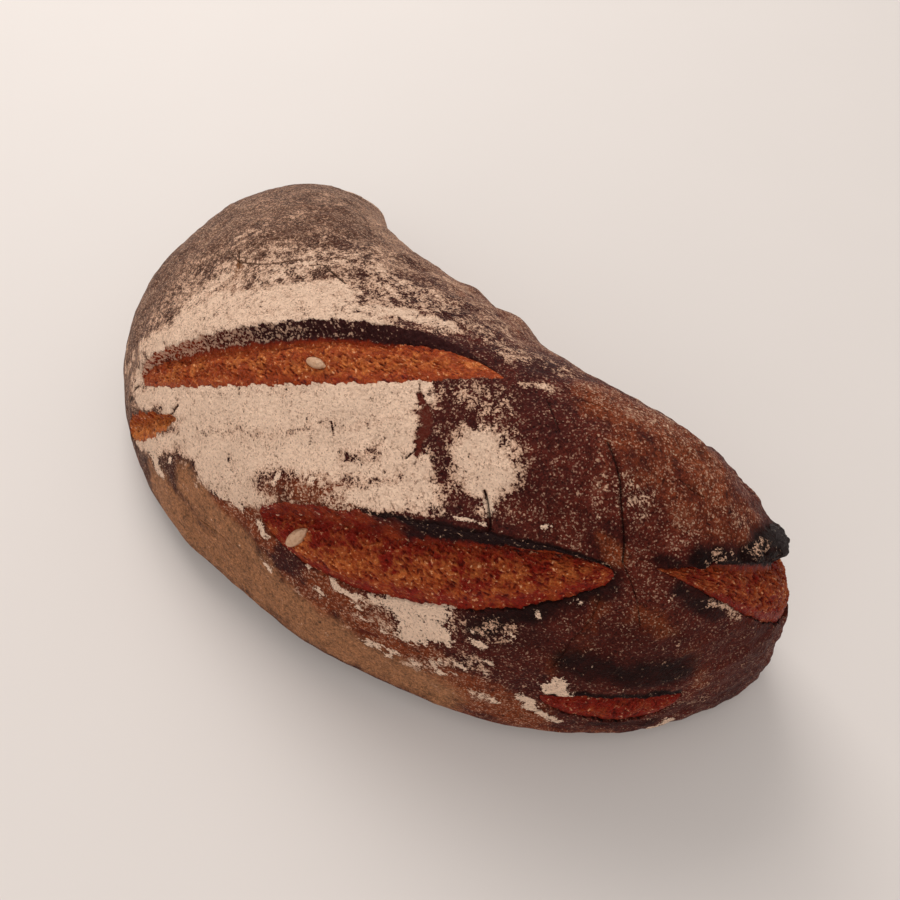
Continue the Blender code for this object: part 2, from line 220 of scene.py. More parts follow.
class Slash:
    """One slash, measured along and across the line between its tips."""

    def __init__(self, start, end, far, far_lean, far_power, near, near_lean, near_power,
                 depth, wall, ear):
        first, last = direction(*start), direction(*end)
        self.middle = unit(first + last)
        side = unit(np.cross(first, last))
        self.side = side if side[1] > 0 else -side
        ahead = np.cross(self.side, self.middle)
        self.ahead = ahead if ahead @ last > 0 else -ahead
        self.half = np.arccos(first @ last) / 2
        self.far_rim = (far, far_lean, far_power)
        self.near_rim = (-near, near_lean, near_power)
        self.depth, self.wall, self.ear = depth, wall, ear

    def rim(self, along, bow, lean, power):
        return bow * np.maximum(1 - along * along, 0) ** power * (1 + lean * along)

    def rims(self, along):
        """Turns across to the far and the near rim, both a little ragged."""
        turn = along * self.half * RAGGED_WAVES
        ragged = RAGGED * np.sqrt(np.maximum(1 - along * along, 0))
        far = self.rim(along, *self.far_rim) + ragged * waves(turn, FAR_WAVES)
        near = self.rim(along, *self.near_rim) + ragged * waves(turn, NEAR_WAVES)
        return far, near

    def fade(self, along):
        return np.maximum(1 - along * along, 0) ** TIP_POWER

    def ways(self, along, turn):
        """Directions on the ball at places along and turns across."""
        a = along * self.half
        return (np.outer(np.cos(turn) * np.cos(a), self.middle)
                + np.outer(np.cos(turn) * np.sin(a), self.ahead) + np.outer(np.sin(turn), self.side))

    def across(self, along, share):
        """Directions at a share of the way from the far rim to the near rim."""
        far, near = self.rims(along)
        return self.ways(along, far + (near - far) * share)

    def measure(self, way):
        """Place along, turn across, and turns of both rims there."""
        along = np.arctan2(way @ self.ahead, way @ self.middle) / self.half
        turn = np.arcsin(np.clip(way @ self.side, -1, 1))
        return along, turn, *self.rims(np.clip(along, -1, 1))

    def ear_lift(self, way):
        """How far the ear lifts the crust, most at the far rim."""
        along, turn, far, near = self.measure(way)
        share = (far - turn) / np.maximum(far - near, LEAST_MOUTH)
        behind = np.exp(-EAR_SLOPE * (np.maximum(turn - far, 0) / EAR_REACH) ** 2)
        mouth = np.clip(EAR_EDGE * (1 - share), 0, 1)
        facing = way @ self.middle > 0
        return np.where(facing, self.ear * self.fade(np.clip(along, -1, 1)) * behind * mouth, 0)

    def sink(self, along, share):
        """How deep the cut lies under the crust."""
        in_wall = np.clip(share / self.wall, 0, 1)
        in_crumb = np.clip((share - self.wall) / (1 - self.wall), 0, 1)
        crumb = NEAR_STEP + (self.depth - NEAR_STEP) * (1 - in_crumb) ** SWELL
        return np.where(share < self.wall, self.depth * in_wall, crumb) * self.fade(along)


SLASH = {name: Slash(**values) for name, values in SLASHES.items()}

# Marks on the crust. Each is a path of (station, degrees round the section: 0
# back, 90 top, 180 front), its half width in millimetres and its strength.
# Patches of flour, soft at their edges
FLOUR = (
    (((-0.20, 147), (-0.10, 137), (0.02, 123.5), (0.17, 106.5)), 6.5, 1.25),
    (((-0.13, 149), (-0.03, 143), (0.07, 131), (0.20, 118)), 8.5, 1.25),
    (((-0.075, 151), (0.020, 146.5)), 5.5, 1.15),
    (((0.160, 135), (0.284, 125)), 5.4, 1.15),
    (((0.209, 116.5), (0.261, 122)), 5.0, 1.10),
    (((0.323, 112.5), (0.359, 116.5)), 7.6, 1.20),
    (((0.290, 118), (0.330, 124)), 4.0, 0.62),
    (((-0.285, 137), (-0.234, 122), (-0.139, 106), (0.010, 88.5), (0.105, 83)), 3.0, 1.10),
    (((-0.293, 131), (-0.231, 115.5), (-0.113, 96.5)), 6.8, 1.10),
    (((-0.330, 126), (-0.325, 118.5)), 4.6, 0.95),
    (((-0.265, 107), (-0.235, 97)), 6.0, 0.90),
    (((-0.36, 128), (-0.30, 106), (-0.20, 90)), 11.0, 0.64),
    (((-0.446, 111.5), (-0.424, 104.5)), 5.0, 0.60),
    (((-0.431, 124), (-0.386, 131), (-0.350, 138), (-0.347, 145)), 7.0, 0.50),
    (((-0.337, 145.5), (-0.294, 153.5)), 3.0, 0.95),
    (((-0.265, 151.5), (-0.206, 142)), 3.8, 1.15),
    (((-0.332, 158), (-0.295, 159)), 3.2, 0.75),
    (((-0.127, 93.5), (0.007, 78)), 9.5, 0.66),
    (((-0.326, 89.5), (-0.214, 70.5)), 9.0, 0.50),
    (((-0.581, 103.5), (-0.575, 77.5)), 10.1, 0.42),
    (((-0.808, 71), (-0.771, 42)), 2.6, 0.80),
    (((-0.462, 62.5), (-0.325, 62.7), (-0.173, 62.5), (0.005, 66.5), (0.165, 68.5),
      (0.354, 72.5)), 6.5, 0.42),
    (((0.457, 75.5), (0.592, 77), (0.681, 80)), 4.0, 0.34),
    (((0.328, 85.5), (0.369, 85)), 1.6, 0.80),
    (((0.123, 160), (0.157, 161.5)), 1.3, 0.65),
    (((0.249, 155), (0.288, 152.5)), 2.8, 0.68),
    (((0.248, 158.5), (0.320, 157.5)), 2.6, 0.60),
    (((0.352, 166.5), (0.420, 159.5)), 3.0, 0.70),
    (((0.429, 157.5), (0.463, 161)), 2.1, 0.72),
    (((0.444, 168), (0.471, 168)), 2.1, 0.76),
    (((0.392, 149.5), (0.461, 149.5)), 4.8, 0.50),
    (((0.764, 170), (0.811, 168.5)), 2.4, 0.52),
    (((0.735, 118), (0.762, 115.5), (0.784, 113), (0.810, 107.5)), 2.8, 0.46),
    (((0.564, 105.5), (0.592, 109)), 3.2, 0.50),
    (((0.750, 129.5), (0.813, 134.5)), 2.0, 0.60),
    (((0.738, 96.5), (0.762, 101)), 1.9, 0.52),
    (((-0.278, 133.5), (-0.301, 125.5), (-0.310, 106), (-0.275, 96.5), (-0.221, 87.5), (-0.097, 81),
      (0.007, 78)), 8.0, 0.72),
    (((-0.362, 131.5), (-0.385, 124), (-0.427, 111.5), (-0.450, 97)), 7.0, 0.45),
    (((-0.319, 152.5), (-0.305, 158), (-0.255, 153), (-0.229, 146.5)), 3.4, 1.15),
    (((-0.378, 160.5), (-0.377, 154.5)), 2.2, 0.85),
    (((-0.421, 159.5), (-0.392, 162.5)), 2.2, 0.75),
    (((-0.251, 166.5), (-0.209, 162), (-0.176, 156), (-0.143, 150.5)), 3.2, 1.20),
    (((0.188, 102), (0.219, 100.5), (0.309, 97.5)), 5.0, 0.46),
    (((0.230, 113.5), (0.261, 115.5), (0.266, 119)), 4.0, 0.60),
    (((0.010, 148), (0.051, 143), (0.111, 137), (0.165, 133)), 5.0, 0.92),
    (((-0.162, 57), (-0.031, 58.5), (0.111, 60.5), (0.199, 66.5)), 3.2, 0.60),
    (((-0.054, 72.5), (0.072, 74), (0.238, 76)), 5.0, 0.56),
    (((0.530, 59.5), (0.600, 68), (0.658, 81)), 5.0, 0.34),
)
# Crisp patches of flour
CRISP = (
    (((-0.209, 163), (-0.169, 164.5)), 2.8, 1.00),
    (((0.375, 121.5), (0.380, 122.5)), 2.2, 1.00),
    (((0.442, 119.5), (0.444, 119.5)), 1.9, 1.00),
    (((0.053, 151.5), (0.073, 154)), 1.9, 1.00),
    (((0.091, 160.5), (0.105, 160.5)), 1.9, 1.00),
    (((0.137, 152.5), (0.153, 153)), 1.5, 1.00),
    (((0.182, 158.5), (0.193, 159)), 1.6, 1.00),
    (((0.204, 154), (0.238, 153.5)), 1.9, 1.00),
    (((0.306, 151), (0.361, 148.5)), 4.4, 1.00),
    (((0.329, 158), (0.373, 154)), 3.8, 1.00),
    (((0.269, 166), (0.325, 167.5)), 1.2, 1.00),
    (((0.482, 151.5), (0.484, 151.5)), 1.5, 1.00),
    (((0.502, 142.5), (0.503, 142.5)), 1.0, 1.00),
    (((0.549, 137.5), (0.551, 137.5)), 1.3, 1.00),
    (((0.450, 146), (0.451, 146)), 1.0, 1.00),
    (((0.477, 147.5), (0.478, 147.5)), 1.0, 1.00),
    (((0.552, 161.5), (0.568, 158.5), (0.580, 162.5)), 2.4, 1.00),
    (((0.524, 167), (0.546, 170), (0.583, 173.5)), 2.0, 1.00),
    (((0.735, -179), (0.781, 179.5)), 1.4, 1.00),
    (((0.332, 127.4), (0.357, 126.3), (0.412, 124.9)), 0.9, 1.00),
    (((0.462, 123.8), (0.495, 123.5), (0.535, 123)), 0.8, 1.00),
    (((0.317, 154.2), (0.370, 152.7)), 3.2, 1.00),
)
# Small flakes of flour: station, degrees and half width in millimetres
FLAKES = (
    (-0.190, 163.5, 1.8), (-0.182, 165.5, 1.6), (-0.150, 157.5, 1.5), (-0.159, 164.5, 1.7),
    (-0.070, 150.5, 2.2), (-0.044, 152.5, 2.0), (-0.021, 152, 1.8), (-0.002, 151, 2.4), (0.026, 146, 2.0),
    (0.051, 145, 1.5), (0.063, 139, 1.6), (0.078, 135, 1.5), (0.111, 134.5, 1.4), (0.123, 131.5, 1.6),
    (0.145, 153.5, 1.4), (0.186, 158.5, 1.7), (0.212, 153.5, 1.3), (0.232, 154.5, 1.6), (0.247, 157, 1.2),
    (0.256, 159.5, 1.4), (0.266, 152.5, 1.3), (0.288, 152.5, 1.6), (0.295, 159, 1.2),
    (0.277, 165, 1.2), (0.297, 165, 1.5), (0.321, 165.5, 1.2),
    (0.352, 166, 1.3), (0.373, 164, 1.6), (0.390, 162.5, 1.5), (0.413, 161, 1.8), (0.386, 166.5, 1.3),
    (0.414, 164.5, 1.4), (0.434, 158, 1.3), (0.451, 157.5, 1.4), (0.459, 160.5, 1.7), (0.448, 167, 1.5),
    (0.463, 167.5, 1.6), (0.481, 169, 1.4),
    (0.401, 150, 1.0), (0.419, 150, 1.1), (0.439, 149, 0.9), (0.421, 152.5, 1.1), (0.436, 152.5, 1.2),
    (0.452, 153, 1.0), (0.453, 146.5, 0.9), (0.471, 150, 0.9), (0.482, 147.5, 1.0),
)
FLAKE_LENGTH = 0.003     # in stations
CRISP += tuple((((station, degrees), (station + FLAKE_LENGTH, degrees)), width, 1.0)
               for station, degrees, width in FLAKES)

# Where the flour is worn or was blown away again
WORN = (
    (((0.041, 141), (0.095, 138.5), (0.146, 134.5)), 4.5, 0.42),
    (((-0.166, 158.5), (-0.104, 154.5)), 3.2, 0.40),
    (((0.132, 126.5), (0.176, 122)), 2.4, 0.50),
    (((0.251, 113.5), (0.308, 125)), 1.6, 0.45),
    (((0.326, 124.5), (0.362, 122.5)), 1.8, 0.60),
)
# Almost black places, warm brown ones and the pale flank
BURNT = (
    (((0.240, 101), (0.320, 95.5)), 6.0, 0.45),
    (((0.428, 149), (0.525, 138), (0.572, 132)), 4.6, 0.95),
    (((0.693, 128.5), (0.761, 132.5)), 3.5, 0.90),
    # Partly burnt crust and partly painted shade on the right end's lower front, the side turned from the
    # light
    (((0.576, 152), (0.648, 154.5), (0.742, 153)), 6.0, 0.95),
    (((0.640, 122.5), (0.690, 121.8), (0.715, 119)), 1.9, 0.90),
    (((0.710, 119), (0.750, 116.5), (0.774, 113), (0.799, 108)), 3.6, 1.10),
    (((0.799, 107), (0.826, 103.5), (0.857, 95.5), (0.893, 82)), 3.6, 1.15),
    # Partly burnt crust and partly painted shade on the right end's lower front, the side turned from the
    # light
    (((0.601, 145.5), (0.756, 143.5), (0.86, 146)), 13.0, 0.50),
    (((0.440, 150), (0.520, 150)), 6.0, 0.60),
    (((0.637, 174.5), (0.739, 177)), 2.0, 0.80),
)
WARM = (
    (((0.037, 146), (0.100, 139), (0.165, 134)), 4.0, 0.75),
    (((0.583, 136.5), (0.570, 149.5), (0.554, 156)), 3.1, 0.55),
    (((0.650, 136), (0.691, 140.5)), 3.3, 0.70),
    (((0.199, 156.4), (0.328, 163.4), (0.445, 168.5), (0.540, 174)), 6.5, 1.00),
    (((0.564, 92), (0.670, 101.5), (0.760, 101)), 9.0, 0.55),
    (((0.373, 175.5), (0.503, -175), (0.662, -175.5)), 3.5, 0.70),
    (((0.462, 78.5), (0.593, 78.5), (0.704, 85.5)), 7.0, 0.80),
    (((0.552, 122.5), (0.581, 125)), 2.9, 0.70),
    (((-0.297, 180), (-0.233, -178.5)), 3.4, 1.00),
    (((-0.056, 158), (0.047, 149.5)), 2.9, 0.90),
    (((-0.017, 157.5), (0.043, 155), (0.083, 155)), 3.4, 0.90),
    (((0.136, 161.5), (0.229, 161)), 4.0, 0.70),
    (((0.063, 147), (0.092, 154)), 2.2, 0.90),
    (((0.746, 146.5), (0.789, 159)), 2.7, 0.50),
    (((-0.144, 54), (-0.023, 62.5)), 1.8, 0.80),
    (((0.126, 54.5), (0.179, 58.5)), 1.7, 0.80),
)
PALE_FLANK = (
    (((-0.160, 171), (-0.001, 172), (0.143, 170), (0.288, 172), (0.388, 174)), 8.0, 1.00),
    (((-0.074, 177.5), (0.086, 175.5), (0.236, 174.5)), 6.1, 0.70),
    (((-0.096, 158), (-0.025, 160.5), (0.058, 163), (0.161, 167.5)), 6.0, 0.95),
    (((-0.345, 113), (-0.311, 115), (-0.279, 118.5)), 1.2, 0.90),
)
# The lumpy charred lip of the ear at the near end
LIP = (
    (((0.715, 119.5), (0.754, 116.5), (0.793, 112.5), (0.826, 106), (0.857, 96.5),
      (0.893, 83)), 3.0, 1.00),
)
# The kinds of mark, and where each begins and ends to fade, in half widths
MARKS = {
    "flour": (FLOUR, 0.4, 1.7),
    "flake": (CRISP, 0.2, 1.6),
    "worn": (WORN, 0.3, 1.7),
    "burnt": (BURNT, 0.2, 2.1),
    "warm": (WARM, 0.2, 2.2),
    "pale": (PALE_FLANK, 0.3, 2.0),
    "lip": (LIP, 0.3, 1.6),
}
# How the outlines of marks wander: the size of a wave and how far it reaches
STIR = ((15 * MM, 2.6 * MM), (4.5 * MM, 1.6 * MM), (1.8 * MM, 0.7 * MM))
LIP_LUMPS = ((4.0 * MM, 1.3 * MM), (1.7 * MM, 0.6 * MM))
LIP_SWELL = 0.3 * MM
MARK_REACH = 25 * MM     # no mark shows farther than this from its path
MARK_APART = 0.8 * MM    # the steps in which a mark's path is measured

# Flour up to both rims of the long slash: where along it the flour comes in and
# goes out, and the turns away from the rim over which it thins
FLOURED_SLASH = "long"
FLOUR_ABOVE = ((-0.97, -0.80), (0.55, 0.92), (0.02, 0.09))
FLOUR_BELOW = ((-1.02, -0.90), (0.28, 0.50), (0.03, 0.10))
RIM_FLOUR = 1.15

# Where along each slash the crust behind its far rim begins to be burnt, how
# burnt it is, over which length it begins and how far behind the rim it reaches
SCORCHED_RIMS = {
    "long": (-1.0, 0.0),
    "middle": (-0.25, 1.2),
    "end": (-0.5, 1.0),
    "low": (-0.8, 1.0),
    "tear": (-1.0, 0.0),
}
SCORCH_BEGINS = 0.2
SCORCH_REACH = 0.017
SCORCH_EDGE = 4          # how suddenly it ends there

# Cracks: a path, the half width and the depth in millimetres
CRACKS = (
    (((0.373, 88.5), (0.393, 92), (0.425, 97.5)), 0.35, 0.50),
    (((0.507, 95), (0.528, 99.5), (0.548, 104.5), (0.559, 109.5), (0.569, 113.5), (0.584, 119.5),
      (0.593, 125)), 0.45, 0.90),
    (((0.593, 125), (0.613, 129), (0.634, 134), (0.654, 141.5)), 0.30, 0.40),
    (((0.359, 119.5), (0.374, 122), (0.389, 125.5), (0.397, 128)), 0.50, 1.20),
    (((0.580, 135.5), (0.579, 140.5), (0.561, 147), (0.549, 155.5)), 0.35, 0.40),
    (((0.415, 144.5), (0.426, 147.5)), 0.35, 0.50),
    (((-0.421, 119.5), (-0.390, 114.5), (-0.350, 113), (-0.308, 108), (-0.285, 103.5),
      (-0.269, 99)), 0.35, 0.50),
    (((-0.382, 112), (-0.330, 113.5)), 0.35, 0.50),
    (((-0.376, 110), (-0.381, 104.5), (-0.368, 100)), 0.35, 0.40),
    (((-0.241, 98), (-0.225, 95), (-0.188, 94.5), (-0.146, 93.5)), 0.40, 0.60),
    (((-0.252, 93), (-0.235, 89.5), (-0.210, 87.5)), 0.35, 0.50),
    (((0.034, 77.5), (0.093, 78.5), (0.138, 79)), 0.35, 0.50),
    (((-0.142, 58.5), (-0.054, 62), (0.007, 65)), 0.40, 0.60),
    (((-0.321, 168), (-0.309, 161), (-0.300, 154.5)), 0.35, 0.50),
    (((-0.215, 155.5), (-0.199, 151), (-0.191, 148), (-0.191, 145.5)), 0.55, 0.90),
    (((-0.107, 129), (-0.095, 131)), 0.35, 0.40),
    (((0.165, 103), (0.183, 106)), 0.30, 0.40),
    (((0.230, 117.5), (0.223, 120.5)), 0.30, 0.40),
    (((0.076, 122), (0.093, 124.5)), 0.28, 0.30),
    (((0.063, 127.5), (0.069, 129.5)), 0.28, 0.30),
    (((0.643, 96.5), (0.667, 98), (0.696, 98)), 0.28, 0.30),
    (((-0.053, 164.5), (0.015, 163.5)), 0.35, 0.30),
    (((0.543, 172.5), (0.561, 169.5)), 0.40, 0.80),
    (((0.421, 84), (0.469, 82.5)), 0.28, 0.30),
)
CRACK_REACH = 4 * MM     # no crack shows farther than this from its path
CRACK_APART = 0.15 * MM  # the steps in which a crack's path is measured
CRACK_SHARE = 0.8        # share of its depth that a crack is cut to
CRACK_BANK = 0.08 * MM   # the raised banks beside it
BANK_AT = 2.0            # their place, in half widths of the crack
# A crack's dark colour is partly the crust under the flour and partly painted shade, darker in deeper
# cracks
CRACK_DARK_LEAST = 0.55  # how dark a shallow crack is
CRACK_DARKER = 0.5       # and how much darker with each millimetre of depth

# Bare scars in the flour: a path, the half width and the depth in millimetres
SCARS = (
    (((0.179, 105.5), (0.202, 108), (0.223, 111), (0.228, 115.5), (0.235, 118.5)), 0.8, 0.30),
    (((0.205, 108.4), (0.223, 111), (0.226, 114)), 1.6, 0.35),
    (((0.266, 163.5), (0.290, 163)), 0.9, 0.60),
)
SCAR_FADE = (0.4, 1.5)   # where one begins and ends to fade, in half widths


def path_ways(path, apart):
    """Directions on the ball along a path of (station, degrees)."""
    ends = [direction(*place) for place in path]
    ways = []
    for first, last in zip(ends, ends[1:]):
        length = np.linalg.norm(plain_form(last[None]) - plain_form(first[None]))
        steps = np.linspace(0, 1, max(2, int(length / apart)))[:, None]
        ways.append(unit(first * (1 - steps) + last * steps))
    return np.concatenate(ways)


def nearest_on(points, line, reach):
    """The nearest place on a line of points and its distance, or -1 and far."""
    low, high = line.min(0) - reach, line.max(0) + reach
    near = np.where(((points > low) & (points < high)).all(1))[0]
    place, away = np.full(len(points), -1), np.full(len(points), 1.0)
    if len(near):
        apart = np.linalg.norm(points[near][:, None] - line[None], axis=2)
        place[near], away[near] = apart.argmin(1), apart.min(1)
    return place, away


def distance_to(points, path, reach=MARK_REACH, apart=MARK_APART):
    return nearest_on(points, plain_form(path_ways(path, apart)), reach)[1]


def cover(points, marks, inner, outer):
    """The strongest of the marks at each point, each fading past its half width."""
    total = np.zeros(len(points))
    for path, width, strength in marks:
        away = distance_to(points, path) / (width * MM)
        total = np.maximum(total, strength * (1 - smooth(inner, outer, away)))
    return total


# Three places apart in the noise, one for each way of a shift
APART = (Vector((9.3, -1.5, -7.9)), Vector((0.0, 0.0, 0.0)), Vector((6.3, 0.2, -2.7)))


def wander(p):
    """An uneven shift that is the same at each run."""
    return Vector([noise.noise(p + apart) for apart in APART])


def stirred(points):
    """Points shifted unevenly, so that the marks' outlines wander."""
    return points + np.array([sum((wander(Vector(p) / size) * reach for size, reach in STIR), Vector())
                              for p in points])


def rim_band(along, away, comes, goes, thins):
    """A band of flour along a rim."""
    return smooth(*comes, along) * (1 - smooth(*goes, along)) * (1 - smooth(*thins, away))


def rim_flour(ways):
    """Flour that lies right up to the rims of a slash."""
    slash = SLASH[FLOURED_SLASH]
    along, turn, far, near = slash.measure(ways)
    facing = ways @ slash.middle > 0
    above = rim_band(along, turn - far, *FLOUR_ABOVE)
    below = rim_band(along, near - turn, *FLOUR_BELOW)
    return RIM_FLOUR * np.where(facing, np.where(turn > near, above, below), 0)


# Making pieces
def start_edit():
    bpy.ops.object.mode_set(mode='EDIT')
    bpy.ops.mesh.select_all(action='SELECT')


def end_edit():
    bpy.ops.object.mode_set(mode='OBJECT')


def get_points(ob):
    points = np.empty(len(ob.data.vertices) * 3)
    ob.data.vertices.foreach_get("co", points)
    return points.reshape(-1, 3)


def set_points(ob, points):
    ob.data.vertices.foreach_set("co", np.ascontiguousarray(points).ravel())
    ob.data.update()


def paint_points(ob, name, values):
    """A number kept at each point of a piece, for its material to read."""
    layer = ob.data.attributes.new(name, 'FLOAT', 'POINT')
    layer.data.foreach_set("value", np.asarray(values, dtype=np.float32))


def select_faces(ob, chosen):
    """Selects faces, for the next edit, by whether each face is chosen."""
    bpy.ops.object.mode_set(mode='EDIT')
    bpy.ops.mesh.select_all(action='DESELECT')
    bpy.ops.object.mode_set(mode='OBJECT')
    ob.data.polygons.foreach_set("select", chosen)
    bpy.ops.object.mode_set(mode='EDIT')


def face_outwards():
    start_edit()
    bpy.ops.mesh.normals_make_consistent(inside=False)
    end_edit()


def face_middles(ob):
    middles = np.empty(len(ob.data.polygons) * 3)
    ob.data.polygons.foreach_get("center", middles)
    return middles.reshape(-1, 3)


def from_cube(points):
    """Directions on the ball of points on a cube's sides, evenly turned."""
    return unit(np.tan(np.clip(points, -1, 1) * pi / 4))


def close_to_rims(ways, reach):
    close = np.zeros(len(ways), bool)
    for slash in SLASH.values():
        along, turn, far, near = slash.measure(ways)
        facing = (np.abs(along) < 1 + reach / slash.half) & (ways @ slash.middle > 0)
        close |= facing & ((np.abs(turn - far) < reach) | (np.abs(turn - near) < reach))
    return close


def close_to_cracks(points, reach):
    close = np.zeros(len(points), bool)
    for path, *sizes in CRACKS:
        close |= distance_to(points, path) < reach
    return close


def snap_to_rims(ways, reach):
    """Moves the directions that lie beside a rim onto it."""
    for slash in SLASH.values():
        along, turn, far, near = slash.measure(ways)
        facing = (np.abs(along) < 1) & (ways @ slash.middle > 0)
        to_far, to_near = np.abs(turn - far), np.abs(turn - near)
        rim = np.where(to_far <= to_near, far, near)
        moved = facing & (np.minimum(to_far, to_near) < reach)
        ways[moved] = slash.ways(along[moved], rim[moved])
    return ways


def snap_to_cracks(ways, reach):
    """Moves the directions that lie beside a crack onto its line."""
    points = plain_form(ways)
    for path, *sizes in CRACKS:
        line = path_ways(path, CRACK_APART)
        place, away = nearest_on(points, plain_form(line), CRACK_REACH)
        moved = away < reach
        ways[moved] = line[place[moved]]
    return ways


def make_ball():
    """A cube cut into squares for the crust, finer beside its rims and cracks."""
    bpy.ops.mesh.primitive_cube_add(size=2)
    ob = bpy.context.object
    ob.name = "crust"
    start_edit()
    bpy.ops.mesh.subdivide(number_cuts=BALL_CUTS)
    bpy.ops.mesh.subdivide(number_cuts=BALL_CUTS)
    end_edit()
    select_faces(ob, close_to_rims(from_cube(face_middles(ob)), RIM_BAND))
    bpy.ops.mesh.subdivide(number_cuts=RIM_CUTS)
    end_edit()
    ways = from_cube(face_middles(ob))
    select_faces(ob, close_to_cracks(plain_form(ways), CRACK_BAND) & ~close_to_rims(ways, BALL_SQUARE))
    bpy.ops.mesh.subdivide(number_cuts=CRACK_CUTS)
    end_edit()
    return ob


def cut_cracks(points):
    """How far the cracks lift or lower the crust, and how dark they are."""
    lift, dark = np.zeros(len(points)), np.zeros(len(points))
    for path, width, depth in CRACKS:
        away = distance_to(points, path, CRACK_REACH, CRACK_APART) / (width * MM)
        cut = np.clip(1 - away, 0, 1)
        lift += CRACK_BANK * np.exp(-(away - BANK_AT) ** 2) - CRACK_SHARE * depth * MM * cut
        dark = np.maximum(dark, cut * min(1.0, CRACK_DARK_LEAST + CRACK_DARKER * depth))
    return lift, dark


def scrape_scars(points):
    """How far the scars lower the crust, and how bare they are."""
    lift, bare = np.zeros(len(points)), np.zeros(len(points))
    for path, width, depth in SCARS:
        here = 1 - smooth(*SCAR_FADE, distance_to(points, path) / (width * MM))
        lift -= depth * MM * here
        bare = np.maximum(bare, here)
    return lift, bare


def hollow_slashes(ways):
    """How far the crust sinks under each crumb, and how burnt it is behind it."""
    hollow, burnt = np.zeros(len(ways)), np.zeros(len(ways))
    for name, slash in SLASH.items():
        along, turn, far, near = slash.measure(ways)
        facing = (np.abs(along) < 1) & (ways @ slash.middle > 0)
        within = facing & (turn < far - STEP) & (turn > near + STEP)
        share = np.clip((far - turn) / np.maximum(far - near, LEAST_MOUTH), 0, 1)
        hollow += np.where(within, slash.sink(np.clip(along, -1, 1), share) + UNDER_CRUMB, 0)
        begins, strength = SCORCHED_RIMS[name]
        close = np.exp(-(np.maximum(turn - far, 0) / SCORCH_REACH) ** SCORCH_EDGE) * (turn > near)
        here = close * strength * smooth(begins - SCORCH_BEGINS, begins + SCORCH_BEGINS, along)
        burnt = np.maximum(burnt, np.where(facing, here, 0))
    return hollow, burnt


def make_crust():
    """The whole crust, hollowed a little deeper than the crumb in each slash."""
    ob = make_ball()
    ways = snap_to_cracks(from_cube(get_points(ob)), CRACK_SNAP)
    ways = snap_to_rims(ways, RIM_SNAP)
    smooth_points = plain_form(ways)
    wavy = stirred(smooth_points)
    mark = {name: cover(wavy, *values) for name, values in MARKS.items()}
    flour = np.maximum(mark["flour"], rim_flour(ways)) - mark["worn"]
    crack_lift, crack = cut_cracks(smooth_points)
    scar_lift, scar = scrape_scars(smooth_points)
    hollow, beside = hollow_slashes(ways)

    lift = lumps(smooth_points, FINE_RELIEF) * (1 + ROUGHER * smooth(*ROUGH_END, ways[:, 0]))
    lift += mark["lip"] * (lumps(smooth_points, LIP_LUMPS) + LIP_SWELL)
    lift += FLOUR_THICKNESS * np.clip(np.maximum(flour, mark["flake"] * FLAKE_THICKNESS), 0, 1)
    lift += crack_lift + scar_lift - hollow
    lift *= np.clip(smooth_points[:, 2] / RELIEF_FADE, 0, 1)
    points = crust(ways) + outward(ways) * lift[:, None]
    points[:, 2] = np.maximum(points[:, 2], 0)
    set_points(ob, points)
    paint_points(ob, "flour", flour)
    for name in ("flake", "burnt", "warm", "pale"):
        paint_points(ob, name, mark[name])
    paint_points(ob, "crack", crack)
    paint_points(ob, "scar", scar)
    paint_points(ob, "beside", beside)
    paint_points(ob, "station", ways[:, 0])
    paint_points(ob, "back", ways[:, 1])

    sole = np.array([max(points[i, 2] for i in f.vertices) < MERGE for f in ob.data.polygons])
    select_faces(ob, sole)
    bpy.ops.mesh.dissolve_faces()
    end_edit()
    bpy.ops.object.shade_smooth()
    return ob


# The crumb's faces, its edges and its torn surface. Reliefs are (size, height).
CRUMB_CELL = 0.28 * MM
ROWS_CLOSER = 1.25       # rows are closer than columns, for the steep wall
CRUMB_EDGE = 0.8 * MM    # how far a crumb reaches past its rims, under or over the crust
OVER_RIM = 0.18 * MM     # how far it stands over the crust at the far rim
UNDER_RIM = 0.45 * MM    # how far its far edge lies under the crust
BEFORE_TIPS = 0.999      # how far towards the tips it reaches
CRUMB_THICKNESS = 3.0 * MM
PORES = ((3.4 * MM, 0.8 * MM), (1.9 * MM, 0.8 * MM), (1.1 * MM, 0.6 * MM))
PORE_SHARE = 0.55        # share of the cells that are open pores
PORE_FLOOR = 0.7         # how deep they go, of their cells
PORE_SQUEEZE = 0.86      # makes them longer across the slash than along it
PORE_WANDER = 0.25       # how far their walls wander, in cells
PORE_WAVES = 1.7         # and in how short waves
CHANCE_APART = 37.0      # spreads the cells' chances
FIBRES = ((1.1 * MM, 0.42 * MM), (0.65 * MM, 0.30 * MM))
SWELLS = ((9 * MM, 1.1 * MM),)
BRISTLES = ((1.6 * MM, 0.35 * MM), (0.8 * MM, 0.28 * MM))
WALL_ENDS = (0.85, 1.2)  # where the bristly wall becomes porous floor, in walls
CALM_FAR = (-0.02, 0.06)   # where the relief begins at the far rim, as a share
CALM_NEAR = (0.74, 0.93)   # and where it ends before the near one
CALM_TIPS = 1.4          # how soon it grows from the tips
MEASURED_ALONG = 40      # points in which a slash's length is measured
MEASURED_ACROSS = 20     # and its width


def pores(points, size):
    """How far each point lies from a pore's wall: 0 on the wall, more inside."""
    deep = np.zeros(len(points))
    for i, p in enumerate(points):
        p = Vector(p) / size
        p += wander(p * PORE_WAVES) * PORE_WANDER
        away, places = noise.voronoi(p)
        chance = noise.cell(places[0] * CHANCE_APART) * 0.5 + 0.5
        if chance < PORE_SHARE:
            deep[i] = away[1] - away[0]
    return deep


def line_length(points):
    return np.linalg.norm(np.diff(points, axis=0), axis=1).sum()


